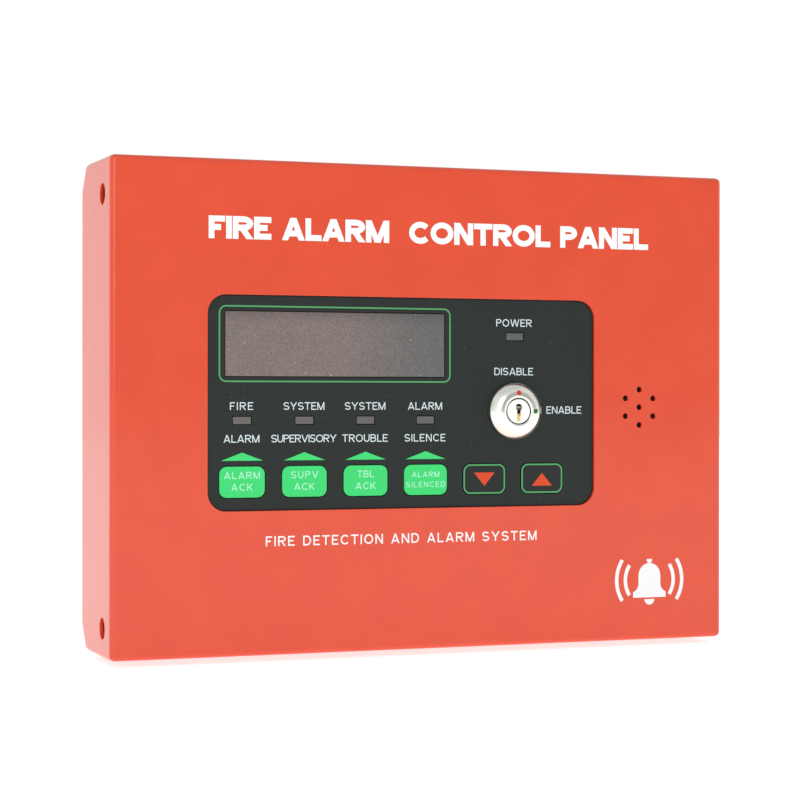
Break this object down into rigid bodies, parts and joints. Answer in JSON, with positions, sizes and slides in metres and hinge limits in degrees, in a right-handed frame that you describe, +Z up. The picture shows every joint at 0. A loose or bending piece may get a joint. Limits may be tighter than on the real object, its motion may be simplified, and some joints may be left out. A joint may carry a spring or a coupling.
{
  "type": "fire alarm annunciator panel",
  "caption": "Slim red steel wall-mount fire alarm annunciator with a recessed black keypad, display, lamps, push keys, a key switch and a sounder behind a hole pattern.",
  "frame": {"origin": "middle of the flat face that lies on the wall", "axes": "+X to the right of someone who faces the panel, +Y into the wall, +Z up"},
  "size_m": [0.25, 0.05, 0.1878],
  "materials": {
    "red_powder_coat": "glossy orange-red powder coat",
    "black_overlay_film": "fine-textured polyester film",
    "green_print": "light green print under textured film",
    "lamp_grey": "smoked lamp window",
    "display_lens_tint": "grey display window",
    "bright_nickel": "bright nickel plate",
    "zinc_plated_steel": "zinc plate",
    "blackened_steel": "black finished steel",
    "black_plastic": "moulded black plastic",
    "white_plastic": "moulded white plastic",
    "circuit_board_green": "green solder mask",
    "terminal_green": "moulded green plastic",
    "black_rubber": "moulded black rubber",
    "red_wire": "red wire insulation"
  },
  "bodies": {
    "panel": {"alarm_ack_switch": "black_plastic", "board_screw_1": "zinc_plated_steel", "board_screw_2": "zinc_plated_steel", "board_screw_3": "zinc_plated_steel", "board_screw_4": "zinc_plated_steel", "cable_grommet": "black_rubber", "capacitor": "black_plastic", "contact_block": "black_plastic", "controller_chip": "black_plastic", "cover_screw_bottom_left": "zinc_plated_steel", "cover_screw_bottom_right": "zinc_plated_steel", "cover_screw_top_left": "zinc_plated_steel", "cover_screw_top_right": "zinc_plated_steel", "display_backlight": "white_plastic", "display_board": "circuit_board_green", "display_frame": "blackened_steel", "display_glass": "display_lens_tint", "display_lens": "display_lens_tint", "down_switch": "black_plastic", "fire_lamp": "lamp_grey", "front_cover": "red_powder_coat", "key_switch_lead": "red_wire", "keypad_overlay": "black_overlay_film", "keypad_plate": "black_plastic", "lock_barrel": "bright_nickel", "lock_nut": "zinc_plated_steel", "lock_washer": "zinc_plated_steel", "main_board": "circuit_board_green", "plate_nut_1": "zinc_plated_steel", "plate_nut_2": "zinc_plated_steel", "plate_nut_3": "zinc_plated_steel", "plate_nut_4": "zinc_plated_steel", "power_lamp": "lamp_grey", "silence_switch": "black_plastic", "silenced_lamp": "lamp_grey", "sounder": "black_plastic", "sounder_lead": "red_wire", "supervisory_ack_switch": "black_plastic", "supervisory_lamp": "lamp_grey", "terminal_block_1": "terminal_green", "terminal_block_2": "terminal_green", "trouble_ack_switch": "black_plastic", "trouble_lamp": "lamp_grey", "up_switch": "black_plastic", "wall_box": "red_powder_coat"},
    "alarm_ack_key": {"alarm_ack_key": "green_print", "alarm_ack_stem": "black_plastic"},
    "supervisory_ack_key": {"supervisory_ack_key": "green_print", "supervisory_ack_stem": "black_plastic"},
    "trouble_ack_key": {"trouble_ack_key": "green_print", "trouble_ack_stem": "black_plastic"},
    "silence_key": {"silence_key": "green_print", "silence_stem": "black_plastic"},
    "down_key": {"down_key": "black_overlay_film", "down_stem": "black_plastic"},
    "up_key": {"up_key": "black_overlay_film", "up_stem": "black_plastic"},
    "key_plug": {"lock_plug": "bright_nickel", "contact_rotor": "white_plastic"}
  },
  "joints": [
    {"name": "alarm_ack_press", "type": "slide", "parent": "panel", "child": "alarm_ack_key", "axis": [0, 1, 0], "range_m": [0, 0.0004], "stiffness_N_per_m": 1000, "springref_m": -0.0005},
    {"name": "supervisory_ack_press", "type": "slide", "parent": "panel", "child": "supervisory_ack_key", "axis": [0, 1, 0], "range_m": [0, 0.0004], "stiffness_N_per_m": 1000, "springref_m": -0.0005},
    {"name": "trouble_ack_press", "type": "slide", "parent": "panel", "child": "trouble_ack_key", "axis": [0, 1, 0], "range_m": [0, 0.0004], "stiffness_N_per_m": 1000, "springref_m": -0.0005},
    {"name": "silence_press", "type": "slide", "parent": "panel", "child": "silence_key", "axis": [0, 1, 0], "range_m": [0, 0.0004], "stiffness_N_per_m": 1000, "springref_m": -0.0005},
    {"name": "down_press", "type": "slide", "parent": "panel", "child": "down_key", "axis": [0, 1, 0], "range_m": [0, 0.0004], "stiffness_N_per_m": 1000, "springref_m": -0.0005},
    {"name": "up_press", "type": "slide", "parent": "panel", "child": "up_key", "axis": [0, 1, 0], "range_m": [0, 0.0004], "stiffness_N_per_m": 1000, "springref_m": -0.0005},
    {"name": "key_switch_turn", "type": "hinge", "parent": "panel", "child": "key_plug", "pos_m": [0.0346, -0.05, -0.0014], "axis": [0, 1, 0], "range_deg": [0, 90]}
  ]
}
